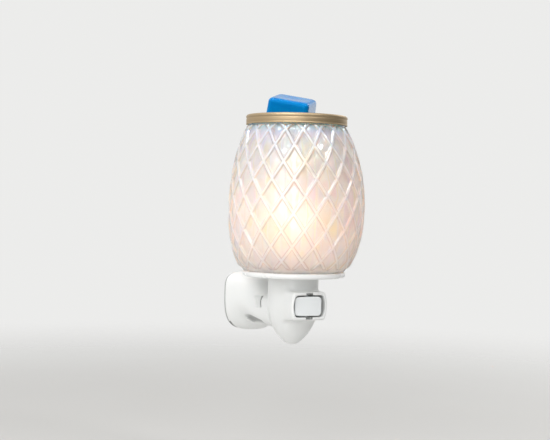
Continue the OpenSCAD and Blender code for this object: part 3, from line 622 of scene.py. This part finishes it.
# Ribs run round the shade in two families of helices, so crossings lie in level rows.
N_D = 19                                     # ribs in each family
PHASE = math.radians(15.63)
TH_CAM = math.atan2(-0.8862, -0.4633)        # bearing from which the crossings were counted
row_t = np.arange(-2, 9).astype(float)
row_z = np.array([104.9, 100.0, 91.4, 82.2, 72.9, 63.6, 54.3, 45.0, 36.1, 28.4, 22.2])
NK = 16                                      # mesh lines from one rib to the next
RIB_MM = [0.0, 0.52, 0.80, 1.08, 1.40]       # mesh lines across half a rib
RIB_H = [1.0, 0.97, 0.72, 0.2, 0.0]
M0, M1 = -26, 126


def line_at(i, g):
    """Lattice coordinate of mesh line i, with lines gathered on the ribs' bevels"""
    per, r = np.floor_divide(i, NK), np.mod(i, NK)
    rr = np.minimum(r, NK - r)
    end = RIB_MM[4] * g
    off = np.where(rr <= 4, np.interp(rr, range(5), RIB_MM) * g, end + (1 - end) * (rr - 4) / 4.0)
    return 2 * per + np.where(r <= NK // 2, off, 2 - off)


rows_q = []
for mrow in range(M0, M1 + 1):
    q = np.arange(N_D * NK) * 2 + (mrow % 2)
    rows_q.append(np.stack([(q - mrow) // 2, (q + mrow) // 2], -1))
IJ = np.stack(rows_q)                        # rows x K x 2
T_ = (IJ[..., 1] - IJ[..., 0]) / float(NK)
for _ in range(6):
    Zl = pchip(row_t, row_z, T_)
    dz = np.abs(pchip(row_t, row_z, T_ + 0.05) - pchip(row_t, row_z, T_ - 0.05)) / np.where((T_ > -1.94) & (T_ < 7.94), 0.1, 0.05)
    Rl = egg(Zl)
    sl = (egg(Zl + 0.05) - egg(Zl - 0.05)) / 0.1
    g = np.sqrt((N_D / math.pi / Rl) ** 2 + 1 / (dz**2 * (1 + sl**2)))
    A_, B_ = line_at(IJ[..., 0], g), line_at(IJ[..., 1], g)
    T_ = (B_ - A_) / 2
    S_ = (A_ + B_) / 2
dA = np.abs(A_ - 2 * np.round(A_ / 2))
dB = np.abs(B_ - 2 * np.round(B_ / 2))
d_mm = np.minimum(dA, dB) / g
ribm = np.interp(d_mm, RIB_MM, RIB_H)
fade = step01(22.4, 25.0, Zl) * (1 - step01(102.4, 103.3, Zl))
pillow = (dA * dB) ** 0.8
relief = (1.05 * ribm + 0.35 * pillow) * fade
nr, nz = 1 / np.sqrt(1 + sl**2), -sl / np.sqrt(1 + sl**2)
base_r = Rl - 0.95
TH = S_ * math.pi / N_D + PHASE + TH_CAM
rad = base_r + relief * nr
verts = [np.stack([rad * np.cos(TH), AX + rad * np.sin(TH), Zl + relief * nz], -1).reshape(-1, 3)]
# the blown wall leans a little to one side at the belly
K = N_D * NK
ribv = [(ribm * fade).reshape(-1)]
tintv = [(np.abs(np.sin(np.floor(A_ / 2 + 1e-6) * 12.9898 + np.floor(B_ / 2 + 1e-6) * 78.233) * 43758.5453) % 1.0).reshape(-1)]
idr = np.abs(np.sin(np.floor(A_ / 2 + 1e-6) * 41.31 + np.floor(B_ / 2 + 1e-6) * 17.77) * 24634.6345) % 1.0
# split across each diamond, used for the painted reflection in the glass colour
across = (A_ / 2) % 1.0 + (B_ / 2) % 1.0 - 1.0
reflection_splitv = [(0.5 + 0.5 * np.tanh(9.0 * (across - 0.9 * (idr - 0.5)))).reshape(-1)]
faces = []
kk = np.arange(K)
for r in range(1, M1 - M0):
    mrow = M0 + r
    odd = mrow % 2
    # quad below/above a vertex pair of this row; the neighbours sit half a step aside
    lft, rgt = r * K + kk, r * K + (kk + 1) % K
    shift = (kk + 1) % K if odd else kk
    dn, up = (r - 1) * K + shift, (r + 1) * K + shift
    faces.append(np.stack([lft, dn, rgt, up], -1))
tri = []
for r, other in ((0, 1), (M1 - M0, M1 - M0 - 1)):
    odd = (M0 + r) % 2
    shift = (kk + 1) % K if odd else kk
    f3 = np.stack([r * K + kk, r * K + (kk + 1) % K, other * K + shift], -1)
    tri.append(f3 if r == 0 else f3[:, ::-1])

rest_rings = []
neck = LIP_Z - 3.2
for prof_pt in ([(float(egg(103.35)) - 0.8, 103.75), (27.7, neck + 0.75), (27.6, neck + 1.2), (27.6, LIP_Z - 0.7)]
                + arc(26.9, LIP_Z - 0.7, 0.7, 15, 90, 4) + arc(26.1, LIP_Z - 0.7, 0.7, 95, 180, 4) + [(25.4, neck - 0.4)]
                + [(float(egg(z)) - 2.6, float(z)) for z in np.linspace(neck - 1.6, GLASS_Z + 5.0, 46)]
                + [(31.6, GLASS_Z + 3.9), (29.6, GLASS_Z + 3.1), (27.0, GLASS_Z + 2.9), (11.0, GLASS_Z + 2.9), (10.9, GLASS_Z + 0.1), (28.0, GLASS_Z + 0.05), (28.75, GLASS_Z + 0.2)]):
    rest_rings.append(prof_pt)
n_lat = len(verts[0])
phi0 = TH[0, 0]
thr = phi0 + 2 * math.pi * kk / K
phiN = TH[-1, 0]
for qn, (r_, z_) in enumerate(rest_rings):
    verts.append(np.stack([r_ * np.cos(thr), AX + r_ * np.sin(thr), np.full(K, z_)], -1))
    ribv.append(np.zeros(K))
    tintv.append(np.full(K, 0.12))
    reflection_splitv.append(np.full(K, 0.5))
nring = len(rest_rings)
bot = (M1 - M0) * K
off = int(round((phiN - phi0) / (2 * math.pi / K)))
k2 = (kk + 1) % K
faces.append(np.stack([kk, n_lat + kk, n_lat + k2, k2], -1))
for qn in range(nring - 1):
    a0, b0 = n_lat + qn * K, n_lat + (qn + 1) * K
    faces.append(np.stack([a0 + kk, b0 + kk, b0 + k2, a0 + k2], -1))
last = n_lat + (nring - 1) * K
faces.append(np.stack([last + (kk + off) % K, bot + kk, bot + k2, last + (k2 + off) % K], -1))
VV = np.concatenate(verts)
lean = 1.0 * np.sin(math.pi * np.clip((VV[:, 2] - 24.0) / 78.0, 0, 1))
VV[:, 0] += 0.886 * lean
VV[:, 1] -= 0.463 * lean
FF = [list(map(int, q)) for q in np.concatenate(faces)] + [list(map(int, q)) for q in np.concatenate(tri)]
shade = make("shade_glass", VV, FF, "housing", M_glass.m, ("glass_shade",))
bm = bmesh.new()
bm.from_mesh(shade.data)
bmesh.ops.recalc_face_normals(bm, faces=bm.faces)
bm.to_mesh(shade.data)
bm.free()
for nm, arr in (("rib", np.concatenate(ribv)), ("tint", np.concatenate(tintv)), ("reflection_split", np.concatenate(reflection_splitv))):
    at = shade.data.attributes.new(nm, "FLOAT", "POINT")
    at.data.foreach_set("value", arr.astype(np.float32))

# ---------------------------------------------------------------- lamp
LR, BZ, LT = 11.2, 50.0, 70.0


def lamp_side(o, n):
    a = [(4.55 - o + (LR - 4.55) * t * t * (3 - 2 * t), 30.6 + (BZ - 30.6) * t) for t in [i / n for i in range(n + 1)]]
    b = [((LR - o) * math.cos(math.radians(90 * i / n)), BZ + (LT - BZ - o) * math.sin(math.radians(90 * i / n))) for i in range(1, n + 1)]
    b[-1] = (0.0, LT - o)
    return a + b


prof = [(3.75, 24.0), (4.55, 24.0)] + lamp_side(0, 36) + lamp_side(0.8, 36)[::-1]
v, f = revolve(prof, 96)
lamp = make("lamp_bulb", v, f, "bulb", M_lamp.m, ("bulb_glass",))

# ---------------------------------------------------------------- gold dish
BR, BOWL_R, BOWL_D = 1.3, 24.2, 12.4
bowl_z = LIP_Z + 0.9 - BOWL_D
bowl = lambda r: bowl_z + BOWL_D * (r / BOWL_R) ** 4
pr = [(0.0, bowl(0))] + [(r, bowl(r)) for r in np.linspace(0.8, 23.6, 40)]
pr += [(24.3, 107.55), (24.9, 107.9), (25.6, 108.05)]
pr += arc(28.9 - BR, LIP_Z + 1.7, BR, 190, 0, 22)
pr += [(28.88, LIP_Z + 1.35), (28.66, LIP_Z + 1.05), (28.62, LIP_Z + 0.8), (28.72, LIP_Z + 0.55), (28.78, LIP_Z + 0.2), (28.78, LIP_Z - 1.2), (28.72, LIP_Z - 1.45), (28.72, LIP_Z - 1.7), (28.8, LIP_Z - 1.95)]
pr += arc(28.9 - 0.38, LIP_Z - 2.22, 0.38, 20, -180, 10)
pr += [(28.1, LIP_Z - 1.7), (28.1, LIP_Z + 0.1), (25.6, LIP_Z + 0.1)]
pr += [(r + 0.8 * math.sin(math.atan(4 * BOWL_D / BOWL_R * (r / BOWL_R) ** 3)), bowl(r) - 0.8 * math.cos(math.atan(4 * BOWL_D / BOWL_R * (r / BOWL_R) ** 3))) for r in np.linspace(24.0, 0.8, 40)]
pr += [(0.0, bowl(0) - 0.8)]
v, f = revolve(pr, 256, closed=False)
make("gold_dish", v, [x[::-1] for x in f], "dish", M_gold.m, ("wax_dish",))

# ---------------------------------------------------------------- wax cube
h = 0.3
lo = (-14.5, -14.5, -1.2)
X, Y, Z = lattice(lo, (14.5, 14.5, 22.6), h)
half = 12.5 + (11.75 - 12.5) * Z / 21.0
cs = math.cos(math.atan(0.75 / 21.0))
sx, sy = (np.abs(X) - half) * cs, (np.abs(Y) - half) * cs
sunk = 0.5 * np.exp(-((X / 6.5) ** 2 + (Y / 6.5) ** 2))
c = smax(smax(sx, sy, 2.9), smax(Z - 21.0 + sunk, -Z, 0.1), 2.7)
V, Q = surface_nets(c.astype(np.float32), lo, h)


def rot(ax, deg):
    a = math.radians(deg)
    return np.array(Matrix.Rotation(a, 3, ax))


R3 = rot("Z", -40.3) @ rot("Y", 9.5) @ rot("X", 11)
make("wax_cube", V @ R3.T + np.array([-2.4, AX + 5.7, bowl_z + 4.1]), Q, "wax", M_wax.m, ("wax_melt",))
del X, Y, Z, c

# ---------------------------------------------------------------- floor, light, camera
m = Mat("pale_floor")
m.to("Base Color", m.ramp(m.noise(3, 2), [(0.3, (0.52, 0.515, 0.50)), (0.7, (0.55, 0.545, 0.53))]))
m.set(Roughness=0.8)
sp = m.n("ShaderNodeVectorMath", operation="LENGTH")
m.link(m.coords(), sp.inputs[0])
m.to("Alpha", m.ramp(sp.outputs["Value"], [(0.25, (1, 1, 1)), (0.95, (0, 0, 0))], "EASE"))
me = bpy.data.meshes.new("floor")
zf = -0.11
me.from_pydata([(-1.2, -1.2, zf), (1.2, -1.2, zf), (1.2, 1.2, zf), (-1.2, 1.2, zf)], [], [(0, 1, 2, 3)])
me.materials.append(m.m)
floor = bpy.data.objects.new("floor", me)
bpy.context.scene.collection.objects.link(floor)

sc = bpy.context.scene
sc.view_settings.view_transform = "Standard"
sc.view_settings.look = "None"
w = bpy.data.worlds.new("studio")
sc.world = w
w.use_nodes = True
nt = w.node_tree
bg = nt.nodes["Background"]
geo = nt.nodes.new("ShaderNodeTexCoord")
dot = nt.nodes.new("ShaderNodeVectorMath")
dot.operation = "DOT_PRODUCT"
dot.inputs[1].default_value = (-0.45, 0.60, 0.66)
nt.links.new(geo.outputs["Generated"], dot.inputs[0])
rmp = nt.nodes.new("ShaderNodeValToRGB")
rmp.color_ramp.elements[0].position = 0.0
rmp.color_ramp.elements[0].color = (0.10, 0.10, 0.10, 1)
rmp.color_ramp.elements[1].position = 1.0
rmp.color_ramp.elements[1].color = (0.95, 0.945, 0.94, 1)
mid_e = rmp.color_ramp.elements.new(0.5)
mid_e.color = (0.46, 0.46, 0.46, 1)
mr = nt.nodes.new("ShaderNodeMath")
mr.operation = "MULTIPLY_ADD"
mr.inputs[1].default_value = 0.5
mr.inputs[2].default_value = 0.5
nt.links.new(dot.outputs["Value"], mr.inputs[0])
nt.links.new(mr.outputs[0], rmp.inputs["Fac"])
lp = nt.nodes.new("ShaderNodeLightPath")
mx = nt.nodes.new("ShaderNodeMix")
mx.data_type = "RGBA"
nt.links.new(lp.outputs["Is Camera Ray"], mx.inputs[0])
nt.links.new(rmp.outputs["Color"], mx.inputs[6])
mx.inputs[7].default_value = (0.84, 0.84, 0.83, 1)
nt.links.new(mx.outputs[2], bg.inputs["Color"])
bg.inputs["Strength"].default_value = 1.0


def area(name, loc, target, size, power, color=(1, 1, 1), size_y=None):
    L = bpy.data.lights.new(name, "AREA")
    L.energy = power
    L.color = color
    L.size = size
    if size_y:
        L.shape = "RECTANGLE"
        L.size_y = size_y
    o = bpy.data.objects.new(name, L)
    bpy.context.scene.collection.objects.link(o)
    o.location = loc
    o.rotation_euler = (Vector(target) - Vector(loc)).to_track_quat("-Z", "Y").to_euler()
    return o


mid = (0, -0.05, 0.04)
area("key", (-1.0, -0.62, 0.42), mid, 0.8, 2.9)
area("strip", (-0.62, -0.98, 0.36), mid, 0.14, 3.4, size_y=1.1)
area("crown", (-0.28, -0.52, 0.98), mid, 1.3, 3.0, size_y=0.04)
area("crown_low", (-0.55, -0.80, 0.62), mid, 0.9, 1.0, size_y=0.03)
area("back", (0.87, 0.45, 0.22), mid, 0.5, 0.6)
area("top", (-0.30, -0.10, 0.95), mid, 0.20, 2.4)
area("high", (0.25, -0.85, 0.72), mid, 0.10, 1.2)
area("kick", (0.75, 0.25, 0.60), mid, 0.22, 1.0)

cam_d = bpy.data.cameras.new("cam")
cam = bpy.data.objects.new("cam", cam_d)
bpy.context.scene.collection.objects.link(cam)
cam_d.sensor_fit = "HORIZONTAL"
cam_d.sensor_width = 36.0
cam_d.lens = 36.0 * 1180 / 550
cam_d.clip_start = 0.01
cam_d.clip_end = 50
yaw, pitch, roll = math.radians(27.6), math.radians(-1.021), math.radians(1.267)
d = Vector((math.sin(yaw) * math.cos(pitch), math.cos(yaw) * math.cos(pitch), math.sin(pitch)))
r = Vector((math.cos(yaw), -math.sin(yaw), 0))
up = r.cross(d)
r2 = r * math.cos(roll) + up * math.sin(roll)
u2 = -r * math.sin(roll) + up * math.cos(roll)
cam.matrix_world = Matrix(((r2.x, u2.x, -d.x, -0.3219), (r2.y, u2.y, -d.y, -0.6471), (r2.z, u2.z, -d.z, 0.0619), (0, 0, 0, 1)))
sc.camera = cam
